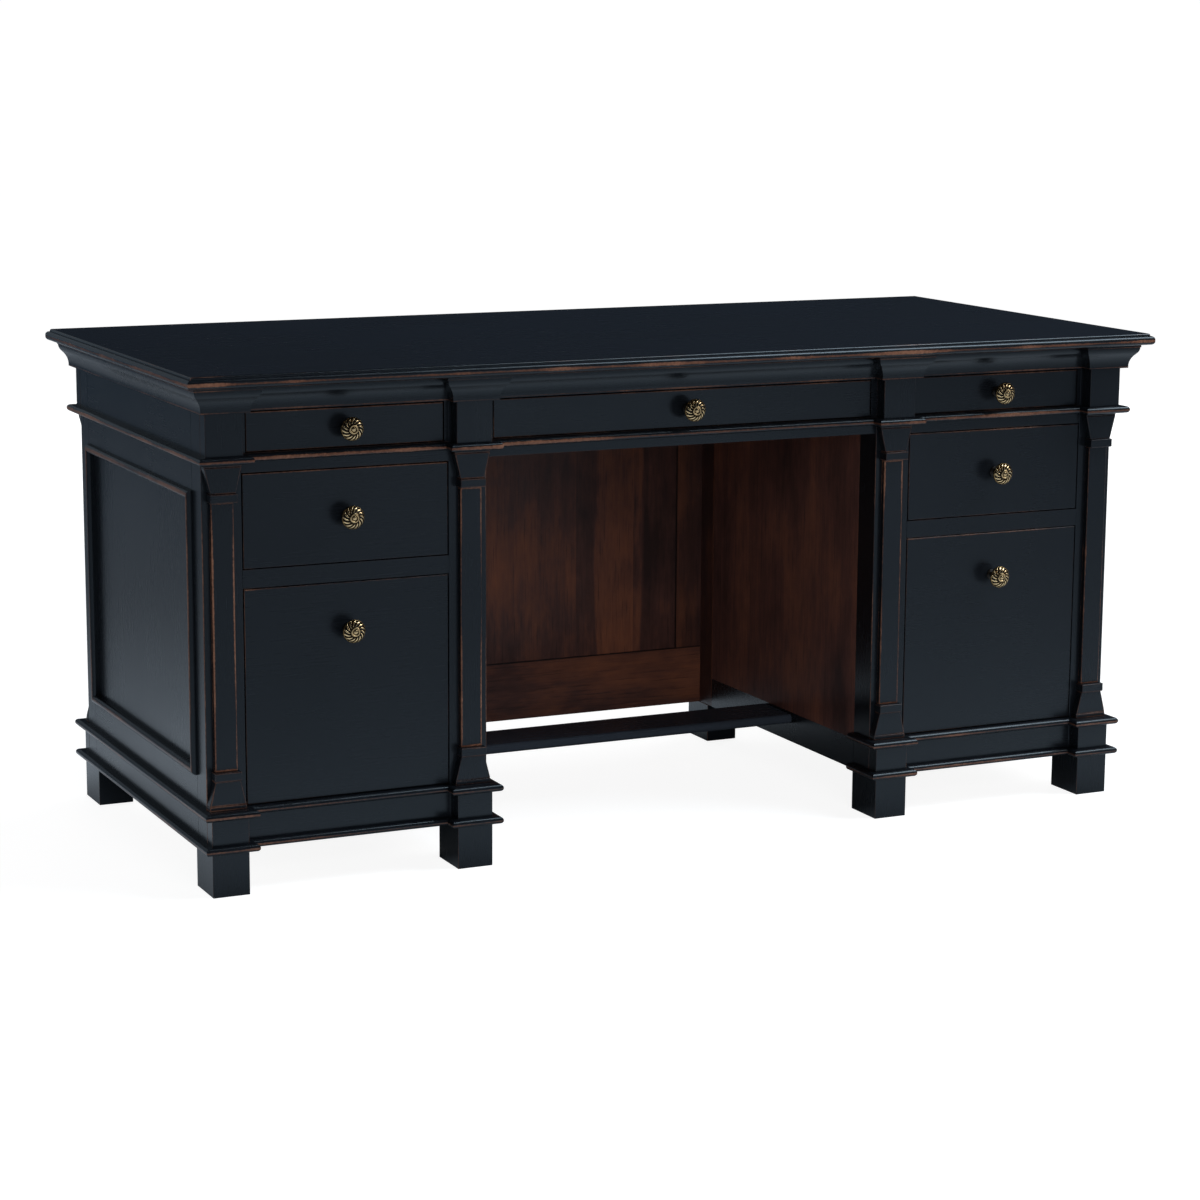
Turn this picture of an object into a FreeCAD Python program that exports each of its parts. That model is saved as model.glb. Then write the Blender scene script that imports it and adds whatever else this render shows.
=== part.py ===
import FreeCAD, Part
import math
import os
import re
import Sketcher

# A painted pedestal desk with a kneehole: two pedestals of drawers, a long drawer between them,
# pilasters on the corners, and mouldings that break forward round every pilaster.
# The frame is millimetres, +Z up, the front towards -Y, the origin on the floor at the centre.

doc = FreeCAD.newDocument("desk")
sheet = doc.addObject("Spreadsheet::Sheet", "Sizes")

driving_sizes = {
    # the stack from the floor to the top
    "foot_height": 66,
    "base_bead_height": 11,
    "plinth_height": 39,
    "carcase_height": 505,
    "waist_bead_height": 11,
    "frieze_height": 62,
    "crown_height": 39,
    "slab_thickness": 18,
    # the plan
    "carcase_length": 1542,
    "carcase_depth": 614,
    "kneehole_width": 664,
    "block_width": 56,
    "block_projection": 23,
    "foot_depth": 75,
    # corner posts
    "post_reveal": 4,
    "outer_post_depth": 42,
    "front_inner_post_depth": 50,
    "rear_inner_post_depth": 66,
    # top slab
    "slab_end_overhang": 14,
    "slab_front_overhang": 18,
    "slab_step_height": 4,
    "slab_step_setback": 6,
    "slab_nose_flat": 3,
    "slab_step_radius": 3,
    # beads and crown
    "bead_reach": 13,
    "crown_reach": 23,
    "crown_lip_reach": 9,
    "crown_lip_height": 3,
    "crown_cap_height": 5,
    "crown_cap_setback": 1,
    "crown_hollow_share": 0.645,
    # pilasters
    "pilaster_foot_height": 7,
    "pilaster_base_height": 36.5,
    "pilaster_collar_height": 13,
    "pilaster_capital_height": 38,
    "pilaster_cap_height": 5,
    "pilaster_neck_width": 37,
    "pilaster_collar_width": 40,
    "pilaster_shaft_width": 33.5,
    "pilaster_block_projection": 15,
    "pilaster_collar_projection": 19,
    "pilaster_shaft_projection": 9,
    # boards and rails
    "rail_thickness": 20,
    "middle_rail_height": 27,
    "centre_rail_height": 26,
    "end_board_thickness": 22,
    "end_rail_height": 42.5,
    "end_panel_drop": 44,
    "end_panel_thickness": 12,
    "end_panel_recess": 5,
    "end_bead_width": 13,
    "end_bead_height": 13,
    "inner_side_thickness": 18,
    "dust_board_thickness": 12,
    # modesty panel and stretcher
    "modesty_stile_width": 49,
    "modesty_rail_height": 100,
    "modesty_top_rail_height": 80,
    "modesty_panel_recess": 1.5,
    "modesty_panel_thickness": 15,
    "stretcher_depth": 100,
    "stretcher_thickness": 15,
    "stretcher_drop": 4,
    "stretcher_edge_radius": 6,
    # drawers
    "front_gap": 1.5,
    "front_thickness": 20,
    "lower_front_height": 317.5,
    "waist_rail_drop": 17,
    "frieze_sill": 0.5,
    "crown_rail_drop": 1.5,
    "frieze_filler_width": 6.5,
    "centre_filler_width": 10.5,
    "drawer_back_clearance": 94,
    "drawer_side_setback": 6,
    "drawer_side_thickness": 12,
    "drawer_bottom_thickness": 6,
    "drawer_bottom_lift": 8,
    "drawer_headroom": 14,
    "ride_gap": 0.3,
    "guide_gap": 0.5,
    "guide_height": 18,
    "runner_width": 40,
    "runner_thickness": 15,
    # knobs
    "knob_radius": 17.25,
    "knob_face_height": 31,
    "knob_rim_height": 3,
    "knob_dome_height": 3,
    "knob_neck_radius": 5,
    "knob_neck_height": 13,
    "knob_base_radius": 8,
    "knob_base_height": 3,
    "knob_bell_radius": 20,
    "lower_knob_drop": 68.5,
    # small roundings of painted edges
    "edge_easing": 1,
}

derived_sizes = {
    "kneehole_half": "kneehole_width / 2",
    "end_plane": "carcase_length / 2",
    "face_plane": "carcase_depth / 2",
    "block_plane": "face_plane + block_projection",
    "board_plane": "face_plane - rail_thickness",
    "post_width": "block_width + post_reveal",
    "opening_near": "kneehole_half + post_width",
    "opening_far": "end_plane - post_width",
    "opening_width": "opening_far - opening_near",
    "pedestal_middle": "(kneehole_half + end_plane) / 2",
    "end_post_line": "face_plane - outer_post_depth",
    "plinth_level": "foot_height + base_bead_height",
    "upper_base_level": "plinth_level + plinth_height",
    "carcase_level": "upper_base_level + base_bead_height",
    "waist_level": "carcase_level + carcase_height",
    "frieze_level": "waist_level + waist_bead_height",
    "crown_level": "frieze_level + frieze_height",
    "slab_level": "crown_level + crown_height",
    "slab_half_length": "end_plane + crown_reach + slab_end_overhang",
    "slab_half_depth": "block_plane + crown_reach + slab_front_overhang",
    "slab_nose_radius": "(slab_thickness - slab_step_height - slab_nose_flat) / 2",
    "middle_rail_level": "carcase_level + lower_front_height + 2 * front_gap",
    "middle_level": "middle_rail_level + middle_rail_height",
    "waist_rail_level": "waist_level - waist_rail_drop",
    "middle_front_height": "waist_rail_level - middle_level - 2 * front_gap",
    "frieze_opening": "frieze_level + frieze_sill",
    "crown_rail_level": "crown_level - crown_rail_drop",
    "frieze_front_height": "crown_rail_level - frieze_opening - 2 * front_gap",
    "end_panel_level": "carcase_level + end_rail_height",
    "end_panel_top": "waist_level - end_panel_drop",
    "stretcher_level": "upper_base_level - stretcher_drop - stretcher_thickness",
    "front_width": "opening_width - 2 * front_gap",
    "frieze_opening_width": "opening_width - 2 * frieze_filler_width",
    "frieze_front_width": "frieze_opening_width - 2 * front_gap",
    "centre_opening_half": "kneehole_half - centre_filler_width",
    "centre_front_width": "2 * (centre_opening_half - front_gap)",
    "drawer_end": "board_plane - drawer_back_clearance",
}

sides = {"left": -1, "right": 1}
faces = {"front": -1, "back": 1}
x_axis = FreeCAD.Vector(1, 0, 0)
y_axis = FreeCAD.Vector(0, 1, 0)
z_axis = FreeCAD.Vector(0, 0, 1)
nodes = []

for row, (alias, number) in enumerate(driving_sizes.items(), start=1):
    sheet.set(f"A{row}", alias)
    sheet.set(f"B{row}", str(number))
    sheet.setAlias(f"B{row}", alias)
doc.recompute()


def formula(text):
    # spells out the derived names until only cells of the sheet are left
    def spell(match):
        word = match.group(0)
        if word in derived_sizes:
            return f"({formula(derived_sizes[word])})"
        return f"Sizes.{word}"
    return re.sub(r"[a-z][a-z_]*", spell, text)


def value(text):
    return float(sheet.evalExpression(formula(text)))


def bind(item, sizes):
    for name, text in sizes.items():
        item.setExpression(name, formula(text))
    return item


def place(item, x, y, z):
    return bind(item, {"Placement.Base.x": x, "Placement.Base.y": y, "Placement.Base.z": z})


def span(sign, near, far):
    # the stretch from near to far on one side of the desk's middle plane
    return (near, far) if sign > 0 else (f"-({far})", f"-({near})")


def board(name, x, y, z):
    # each of x, y and z is a pair: where the board starts and where it ends
    item = doc.addObject("Part::Box", name)
    bind(item, {
        "Length": f"{x[1]} - ({x[0]})",
        "Width": f"{y[1]} - ({y[0]})",
        "Height": f"{z[1]} - ({z[0]})",
    })
    return place(item, x[0], y[0], z[0])


def eased(blank, radius="edge_easing", chosen=None):
    # rounds the chosen edges of a blank, or all of them
    blank.recompute()
    rounded = doc.addObject("Part::Fillet", f"{blank.Name}_eased")
    rounded.Base = blank
    size = value(radius)
    edges = enumerate(blank.Shape.Edges, start=1)
    rounded.Edges = [(index, size, size) for index, edge in edges if chosen is None or chosen(edge)]
    return rounded


def taper(name, widths, depth, height):
    # a block whose width runs from the first to the second of widths as it rises, its back at y = 0
    item = doc.addObject("Part::Wedge", name)
    bind(item, {
        "Xmin": f"-({widths[0]}) / 2", "Xmax": f"({widths[0]}) / 2",
        "X2min": f"-({widths[1]}) / 2", "X2max": f"({widths[1]}) / 2",
        "Zmin": "0", "Zmax": depth, "Z2min": "0", "Z2max": depth,
        "Ymin": "0", "Ymax": height,
    })
    return item


def keep(item, name):
    item.Label = name
    nodes.append(item)


def keep_group(name, pieces):
    group = doc.addObject("Part::Compound", name)
    group.Links = pieces
    keep(group, name)


def outline(sketch, corners, radii):
    # a closed outline through the corners, anticlockwise; radii[i] > 0 bends the side after corner i
    # outwards and radii[i] < 0 bends it inwards
    count = len(corners)
    points = [FreeCAD.Vector(value(x), value(y), 0) for x, y in corners]
    ends = []
    for i in range(count):
        start, stop = points[i], points[(i + 1) % count]
        if i not in radii:
            ends.append((sketch.addGeometry(Part.LineSegment(start, stop)), 1, 2))
            continue
        sign, text = radii[i]
        radius = value(text)
        chord = stop - start
        normal = FreeCAD.Vector(chord.y, -chord.x, 0).normalize()
        sagitta_leg = math.sqrt(radius ** 2 - (chord.Length / 2) ** 2)
        centre = (start + stop) * 0.5 - normal * (sign * sagitta_leg)
        first, last = (start, stop) if sign > 0 else (stop, start)
        angles = [math.atan2(p.y - centre.y, p.x - centre.x) for p in (first, last)]
        arc = Part.ArcOfCircle(Part.Circle(centre, z_axis, radius), *angles)
        geometry = sketch.addGeometry(arc)
        ends.append((geometry, 1, 2) if sign > 0 else (geometry, 2, 1))
        rule = sketch.addConstraint(Sketcher.Constraint("Radius", geometry, radius))
        sketch.setExpression(f"Constraints[{rule}]", formula(text))
    for i in range(count):
        geometry, start, stop = ends[i]
        following, following_start, following_stop = ends[(i + 1) % count]
        sketch.addConstraint(Sketcher.Constraint("Coincident", geometry, stop, following, following_start))
        for kind, axis, text, size in (("DistanceX", -2, corners[i][0], points[i].x),
                                       ("DistanceY", -1, corners[i][1], points[i].y)):
            if text == "0":
                sketch.addConstraint(Sketcher.Constraint("PointOnObject", geometry, start, axis))
                continue
            rule = sketch.addConstraint(Sketcher.Constraint(kind, -1, 1, geometry, start, size))
            sketch.setExpression(f"Constraints[{rule}]", formula(text))
    return sketch


def profile(name, corners, radii):
    # a moulding's section: the sketch's x is how far it stands out, its y how far it rises
    sketch = outline(doc.addObject("Sketcher::SketchObject", name), corners, radii)
    sketch.Placement = FreeCAD.Placement(FreeCAD.Vector(), FreeCAD.Rotation(y_axis, z_axis, x_axis, "XYZ"))
    return sketch


mitre_signs = {"outside": 1, "inside": -1, "square": 0}


def moulding_length(name, section, size, start, along, outward, mitres):
    # one straight length of moulding, cut to a mitre at each end; size is (run, reach, rise)
    run, reach, rise = size
    strip = doc.addObject("Part::Extrusion", f"{name}_strip")
    strip.Base = section
    strip.DirMode = "Normal"
    strip.Solid = True
    bind(strip, {"LengthFwd": f"{run} + {reach}", "LengthRev": reach})
    near, far = (mitre_signs[mitre] for mitre in mitres)
    footprint = doc.addObject("Part::Wedge", f"{name}_footprint")
    bind(footprint, {
        "Xmin": "0", "Xmax": run, "X2min": f"-({near}) * {reach}", "X2max": f"{run} + ({far}) * {reach}",
        "Ymin": "0", "Ymax": reach, "Zmin": "0", "Zmax": rise, "Z2min": "0", "Z2max": rise,
    })
    length = doc.addObject("Part::Common", name)
    length.Base = strip
    length.Tool = footprint
    turn = FreeCAD.Rotation(along, outward, along.cross(outward), "XYZ")
    length.Placement = FreeCAD.Placement(FreeCAD.Vector(), turn)
    return place(length, *start)


def mirrored(name, source, normal):
    copy = doc.addObject("Part::Mirroring", name)
    copy.Source = source
    copy.Normal = normal
    return copy


def make_profiles():
    def bead(name, height):
        nose = f"{height} / 2"
        flat = f"bead_reach - {nose}"
        corners = [("0", "0"), (flat, "0"), ("bead_reach", nose), (flat, height), ("0", height)]
        return profile(name, corners, {1: (1, nose), 2: (1, nose)})

    cap_level = "crown_height - crown_cap_height"
    curve_top = "crown_reach - crown_cap_setback"
    # the crown's curve: a hollow, then a round, both upright where they end and without a kink between
    run = f"({curve_top} - crown_lip_reach)"
    rise = f"({cap_level} - crown_lip_height)"
    both_radii = f"({run} ^ 2 + {rise} ^ 2) / (2 * {run})"
    bend = (f"crown_lip_reach + {run} * crown_hollow_share",
            f"crown_lip_height + {rise} * crown_hollow_share")
    crown_corners = [
        ("0", "0"), ("crown_lip_reach", "0"), ("crown_lip_reach", "crown_lip_height"), bend,
        (curve_top, cap_level), ("crown_reach", cap_level), ("crown_reach", "crown_height"),
        ("0", "crown_height"),
    ]
    crown_curves = {
        2: (-1, f"{both_radii} * crown_hollow_share"),
        3: (1, f"{both_radii} * (1 - crown_hollow_share)"),
    }
    shoulder = "end_bead_width / 2"
    spring = f"end_bead_height - {shoulder}"
    end_corners = [("0", "0"), ("end_bead_width", "0"), ("end_bead_width", spring),
                   (shoulder, "end_bead_height"), ("0", spring)]
    return {
        "base": bead("base_bead_section", "base_bead_height"),
        "waist": bead("waist_bead_section", "waist_bead_height"),
        "crown": profile("crown_section", crown_corners, crown_curves),
        "end": profile("end_bead_section", end_corners, {2: (1, shoulder), 3: (1, shoulder)}),
    }


def block_runs(name, section, reach, rise, level):
    # the five lengths that step round the two blocks of one pedestal, on the right at the back
    def length(part, run, start, along, outward, mitres):
        size = (run, reach, rise)
        return moulding_length(f"{name}_{part}", section, size, (*start, level), along, outward, mitres)

    outer_near = "end_plane - block_width"
    inner_far = "kneehole_half + block_width"
    recess = "end_plane - kneehole_half - 2 * block_width"
    return [
        length("outer_block", "block_width", (outer_near, "block_plane"), x_axis, y_axis,
               ("outside", "outside")),
        length("outer_return", "block_projection", (outer_near, "face_plane"), y_axis, -x_axis,
               ("inside", "outside")),
        length("recess", recess, (inner_far, "face_plane"), x_axis, y_axis, ("inside", "inside")),
        length("inner_return", "block_projection", (inner_far, "block_plane"), -y_axis, x_axis,
               ("outside", "inside")),
        length("inner_block", "block_width", ("kneehole_half", "block_plane"), x_axis, y_axis,
               ("outside", "outside")),
    ]


def kneehole_return(name, section, size, start_y, level, near_mitre):
    start = ("kneehole_half", start_y, level)
    return moulding_length(name, section, size, start, y_axis, -x_axis, (near_mitre, "outside"))


def end_run(name, section, reach, rise, level):
    size = ("2 * block_plane", reach, rise)
    start = ("end_plane", "block_plane", level)
    return moulding_length(name, section, size, start, -y_axis, x_axis, ("outside", "outside"))


def quarter_group(name, pieces):
    group = doc.addObject("Part::Compound", name)
    group.Links = pieces
    return group


def make_full_moulding(name, section, reach, rise, level):
    # a moulding that also crosses the kneehole between the two pedestals
    pieces = block_runs(name, section, reach, rise, level)
    size = ("block_projection", reach, rise)
    pieces.append(kneehole_return(f"{name}_knee", section, size, "face_plane", level, "inside"))
    quarter = quarter_group(f"{name}_quarter", pieces)
    back = quarter_group(f"{name}_back", [quarter, mirrored(f"{name}_left", quarter, x_axis)])
    centre = moulding_length(f"{name}_centre", section, ("kneehole_width", reach, rise),
                             ("-kneehole_half", "face_plane", level), x_axis, y_axis,
                             ("inside", "inside"))
    end = end_run(f"{name}_end", section, reach, rise, level)
    keep_group(name, [
        back, mirrored(f"{name}_front", back, y_axis),
        centre, mirrored(f"{name}_centre_front", centre, y_axis),
        end, mirrored(f"{name}_end_left", end, x_axis),
    ])


def make_base_moulding(name, section, level):
    # a moulding round the foot of each pedestal; in the kneehole it stops behind the front post
    reach, rise = "bead_reach", "base_bead_height"
    runs = quarter_group(f"{name}_runs", block_runs(name, section, reach, rise, level))
    short = ("block_projection", reach, rise)
    long = ("block_projection + front_inner_post_depth", reach, rise)
    back_knee = kneehole_return(f"{name}_back_knee", section, short, "face_plane", level, "square")
    front_start = "face_plane - front_inner_post_depth"
    knee = kneehole_return(f"{name}_knee", section, long, front_start, level, "square")
    front = quarter_group(f"{name}_front", [
        mirrored(f"{name}_front_runs", runs, y_axis), mirrored(f"{name}_front_knee", knee, y_axis),
    ])
    right = quarter_group(f"{name}_right", [
        runs, back_knee, front, end_run(f"{name}_end", section, reach, rise, level),
    ])
    keep_group(name, [right, mirrored(f"{name}_left", right, x_axis)])


def make_end_beads(section):
    # a bead planted round the panel of each end, mitred at its four corners
    width, height = "end_bead_width", "end_bead_height"
    across = f"2 * (end_post_line - {width})"
    rise = f"end_panel_top - end_panel_level - 2 * {width}"
    x = "end_plane - end_panel_recess"
    low = f"end_panel_level + {width}"
    high = f"end_panel_top - {width}"
    edge = f"end_post_line - {width}"
    runs = {
        "bottom": (across, (x, edge, low), -y_axis, -z_axis),
        "top": (across, (x, f"-({edge})", high), y_axis, z_axis),
        "front": (rise, (x, f"-({edge})", low), z_axis, -y_axis),
        "back": (rise, (x, edge, high), -z_axis, y_axis),
    }
    pieces = []
    for place_name, (run, start, along, outward) in runs.items():
        pieces.append(moulding_length(f"end_bead_{place_name}", section, (run, width, height), start,
                                      along, outward, ("outside", "outside")))
    right = quarter_group("end_beads_right", pieces)
    keep_group("end_beads", [right, mirrored("end_beads_left", right, x_axis)])


def make_mouldings():
    sections = make_profiles()
    make_full_moulding("crown_moulding", sections["crown"], "crown_reach", "crown_height", "crown_level")
    make_full_moulding("waist_moulding", sections["waist"], "bead_reach", "waist_bead_height", "waist_level")
    make_base_moulding("upper_base_moulding", sections["base"], "upper_base_level")
    make_base_moulding("lower_base_moulding", sections["base"], "foot_height")
    make_end_beads(sections["end"])


def is_level(edge):
    return edge.BoundBox.ZLength < edge.BoundBox.DiagonalLength / 2


def make_slab():
    # a lower layer with a rounded nose and, set back on it, a thin upper layer with eased edges
    def layer(name, inset, bottom, top):
        x = f"slab_half_length - {inset}"
        y = f"slab_half_depth - {inset}"
        return board(name, (f"-({x})", x), (f"-({y})", y), (bottom, top))

    step_level = "slab_level + slab_thickness - slab_step_height"
    lower = layer("slab_lower_layer", "0", "slab_level", step_level)
    upper = layer("slab_upper_layer", "slab_step_setback", step_level, "slab_level + slab_thickness")

    def is_top(edge):
        return is_level(edge) and edge.CenterOfMass.z > upper.Shape.CenterOfMass.z

    slab = doc.addObject("Part::Fuse", "top_slab")
    slab.Base = eased(lower, "slab_nose_radius", is_level)
    slab.Tool = eased(upper, "slab_step_radius", is_top)
    keep(slab, "top_slab")


def corners():
    # the four blocks of the front and the four of the back: a name, the two signs and the stretch in x
    for side, side_sign in sides.items():
        for face, face_sign in faces.items():
            inner = span(side_sign, "kneehole_half", "kneehole_half + block_width")
            outer = span(side_sign, "end_plane - block_width", "end_plane")
            yield f"{side}_{face}_inner", face_sign, inner
            yield f"{side}_{face}_outer", face_sign, outer


def make_blocks_and_feet():
    heights = {
        "feet": ("0", "foot_height"),
        "plinth_blocks": ("foot_height", "carcase_level"),
        "frieze_blocks": ("waist_level", "slab_level"),
    }
    for name, height in heights.items():
        back = "block_plane - foot_depth" if name == "feet" else "face_plane"
        pieces = []
        for corner, face_sign, x in corners():
            blank = board(f"{name}_{corner}", x, span(face_sign, back, "block_plane"), height)
            pieces.append(eased(blank))
        keep_group(name, pieces)


def make_pilasters():
    # from the bottom: foot strip, tapering base, collar, plain shaft, collar, flaring capital, cap strip
    full, neck, collar, shaft = ("block_width", "pilaster_neck_width", "pilaster_collar_width",
                                 "pilaster_shaft_width")
    block_out, collar_out, shaft_out = ("pilaster_block_projection", "pilaster_collar_projection",
                                        "pilaster_shaft_projection")
    base_level = "carcase_level + pilaster_foot_height"
    low_collar_level = f"{base_level} + pilaster_base_height"
    shaft_level = f"{low_collar_level} + pilaster_collar_height"
    cap_level = "waist_level - pilaster_cap_height"
    capital_level = f"{cap_level} - pilaster_capital_height"
    high_collar_level = f"{capital_level} - pilaster_collar_height"
    shaft_height = f"{high_collar_level} - ({shaft_level})"
    stages = [
        ("pilaster_bases", "foot_strip", (full, full), block_out, "carcase_level", "pilaster_foot_height"),
        ("pilaster_bases", "taper", (full, neck), block_out, base_level, "pilaster_base_height"),
        ("pilaster_collars", "low", (collar, collar), collar_out, low_collar_level, "pilaster_collar_height"),
        ("pilaster_shafts", "plain", (shaft, shaft), shaft_out, shaft_level, shaft_height),
        ("pilaster_collars", "high", (collar, collar), collar_out, high_collar_level,
         "pilaster_collar_height"),
        ("pilaster_capitals", "flare", (neck, full), block_out, capital_level, "pilaster_capital_height"),
        ("pilaster_capitals", "cap_strip", (full, full), block_out, cap_level, "pilaster_cap_height"),
    ]
    turns = {
        -1: FreeCAD.Rotation(x_axis, z_axis, -y_axis, "XYZ"),
        1: FreeCAD.Rotation(-x_axis, z_axis, y_axis, "XYZ"),
    }
    groups = {}
    for group, stage, widths, depth, level, height in stages:
        for corner, face_sign, x in corners():
            blank = taper(f"{group}_{stage}_{corner}", widths, depth, height)
            blank.Placement = FreeCAD.Placement(FreeCAD.Vector(), turns[face_sign])
            place(blank, f"({x[0]} + {x[1]}) / 2", f"({face_sign}) * face_plane", level)
            groups.setdefault(group, []).append(eased(blank))
    for group, pieces in groups.items():
        keep_group(group, pieces)


def make_posts():
    # the corner posts stand on the feet and carry the top
    inner_depths = {"front": "front_inner_post_depth", "back": "rear_inner_post_depth"}
    height = ("foot_height", "slab_level")
    posts = []
    for side, side_sign in sides.items():
        inner = span(side_sign, "kneehole_half", "opening_near")
        outer = span(side_sign, "opening_far", "end_plane")
        for face, face_sign in faces.items():
            inner_y = span(face_sign, f"face_plane - {inner_depths[face]}", "face_plane")
            outer_y = span(face_sign, "end_post_line", "face_plane")
            posts.append(eased(board(f"{side}_{face}_inner_post", inner, inner_y, height)))
            posts.append(eased(board(f"{side}_{face}_outer_post", outer, outer_y, height)))
    keep_group("corner_posts", posts)


def make_face_frames():
    y = ("-face_plane", "-board_plane")
    frieze = ("frieze_opening", "crown_rail_level")
    crown = ("crown_rail_level", "slab_level")
    for side, sign in sides.items():
        x = span(sign, "opening_near", "opening_far")
        frieze_edge = "frieze_opening_width / 2"
        near = span(sign, "opening_near", f"pedestal_middle - {frieze_edge}")
        far = span(sign, f"pedestal_middle + {frieze_edge}", "opening_far")
        keep_group(f"{side}_face_frame", [
            board(f"{side}_middle_rail", x, y, ("middle_rail_level", "middle_level")),
            board(f"{side}_waist_rail", x, y, ("waist_rail_level", "frieze_opening")),
            board(f"{side}_crown_rail", x, y, crown),
            board(f"{side}_near_filler", near, y, frieze),
            board(f"{side}_far_filler", far, y, frieze),
        ])
    x = ("-kneehole_half", "kneehole_half")
    fillers = []
    for side, sign in sides.items():
        filler_x = span(sign, "centre_opening_half", "kneehole_half")
        fillers.append(board(f"centre_{side}_filler", filler_x, y, frieze))
    waist_rail = board("centre_waist_rail", x, y, ("frieze_opening - centre_rail_height", "frieze_opening"))
    keep_group("centre_face_frame", [waist_rail, board("centre_crown_rail", x, y, crown), *fillers])


def make_carcase_boards():
    groups = {}

    def add(group, name, x, y, z):
        groups.setdefault(group, []).append(board(f"{group}_{name}", x, y, z))

    plinth = ("foot_height", "carcase_level")
    end_y = ("-end_post_line", "end_post_line")
    knee_y = ("front_inner_post_depth - face_plane", "face_plane - rear_inner_post_depth")
    inside_y = ("-board_plane", "board_plane")
    panel_face = "end_plane - end_panel_recess"
    for side, sign in sides.items():
        opening_x = span(sign, "opening_near", "opening_far")
        end_x = span(sign, "end_plane - end_board_thickness", "end_plane")
        for face, face_sign in faces.items():
            board_y = span(face_sign, "board_plane", "face_plane")
            add("plinth_boards", f"{side}_{face}", opening_x, board_y, plinth)
        add("plinth_boards", f"{side}_end", end_x, end_y, plinth)
        add("plinth_boards", f"{side}_inner", span(sign, "kneehole_half", "kneehole_half + rail_thickness"),
            knee_y, ("foot_height", "upper_base_level"))
        add("end_frames", f"{side}_low", end_x, end_y, ("carcase_level", "end_panel_level"))
        add("end_frames", f"{side}_high", end_x, end_y, ("end_panel_top", "frieze_level"))
        add("end_panels", side, span(sign, f"{panel_face} - end_panel_thickness", panel_face), end_y,
            ("end_panel_level", "end_panel_top"))
        add("end_friezes", side, end_x, end_y, ("frieze_level", "slab_level"))
        back_y = ("board_plane", "face_plane")
        add("back_panels", side, opening_x, back_y, ("carcase_level", "frieze_level"))
        add("back_friezes", side, opening_x, back_y, ("frieze_level", "slab_level"))
        add("pedestal_bottoms", side, opening_x, inside_y,
            ("carcase_level - dust_board_thickness", "carcase_level"))
        for stage, level in (("middle", "middle_level"), ("frieze", "frieze_opening")):
            add("dust_boards", f"{side}_{stage}", opening_x, inside_y,
                (f"{level} - dust_board_thickness", level))
        add("centre_runners", f"{side}_runner", span(sign, "kneehole_half - runner_width", "kneehole_half"),
            inside_y, ("frieze_opening - runner_thickness", "frieze_opening"))
        guide_x = span(sign, "centre_front_width / 2 - drawer_side_setback + guide_gap", "kneehole_half")
        add("centre_runners", f"{side}_guide", guide_x, inside_y,
            ("frieze_opening", "frieze_opening + guide_height"))
        inner_x = span(sign, "kneehole_half", "kneehole_half + inner_side_thickness")
        keep(board(f"{side}_inner_side", inner_x, knee_y, ("upper_base_level", "slab_level")),
             f"{side}_inner_side")
    for group, pieces in groups.items():
        keep_group(group, pieces)


def make_modesty_and_stretcher():
    y = ("board_plane", "face_plane")
    panel_half = "kneehole_half - modesty_stile_width"
    x = (f"-({panel_half})", panel_half)
    low = "foot_height + modesty_rail_height"
    high = "slab_level - modesty_top_rail_height"
    frame = [
        board("modesty_low_rail", ("-kneehole_half", "kneehole_half"), y, ("foot_height", low)),
        board("modesty_high_rail", x, y, (high, "slab_level")),
    ]
    for side, sign in sides.items():
        stile_x = span(sign, panel_half, "kneehole_half")
        frame.append(board(f"modesty_{side}_stile", stile_x, y, (low, "slab_level")))
    keep_group("modesty_frame", frame)
    panel_face = "board_plane + modesty_panel_recess"
    keep(board("modesty_panel", x, (panel_face, f"{panel_face} + modesty_panel_thickness"), (low, high)),
         "modesty_panel")
    blank = board("stretcher_blank", ("-kneehole_half", "kneehole_half"),
                  ("-stretcher_depth / 2", "stretcher_depth / 2"),
                  ("stretcher_level", "stretcher_level + stretcher_thickness"))

    def is_long(edge):
        return edge.BoundBox.XLength > value("kneehole_half")

    keep(eased(blank, "stretcher_edge_radius", is_long), "stretcher")


def make_knob(name, x, z):
    # a turned knob: a flared base and neck under a broad, slightly domed face
    body = doc.addObject("PartDesign::Body", name)
    sketch = body.newObject("Sketcher::SketchObject", f"{name}_section")
    plane = next(item for item in body.Origin.OriginFeatures if item.Role == "XZ_Plane")
    sketch.AttachmentSupport = (plane, [""])
    sketch.MapMode = "FlatFace"
    section = [
        ("0", "0"), ("knob_base_radius", "0"), ("knob_base_radius", "knob_base_height"),
        ("knob_neck_radius", "knob_neck_height"), ("knob_radius", "knob_face_height - knob_rim_height"),
        ("knob_radius", "knob_face_height"), ("0", "knob_face_height + knob_dome_height"),
    ]
    dome_radius = "(knob_radius ^ 2 + knob_dome_height ^ 2) / (2 * knob_dome_height)"
    outline(sketch, section, {3: (-1, "knob_bell_radius"), 5: (1, dome_radius)})
    turned = body.newObject("PartDesign::Revolution", f"{name}_turned")
    turned.Profile = sketch
    turned.ReferenceAxis = (sketch, ["V_Axis"])
    body.Placement = FreeCAD.Placement(FreeCAD.Vector(), FreeCAD.Rotation(x_axis, z_axis, -y_axis, "XYZ"))
    place(body, x, "-face_plane", z)
    keep(body, name)


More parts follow.
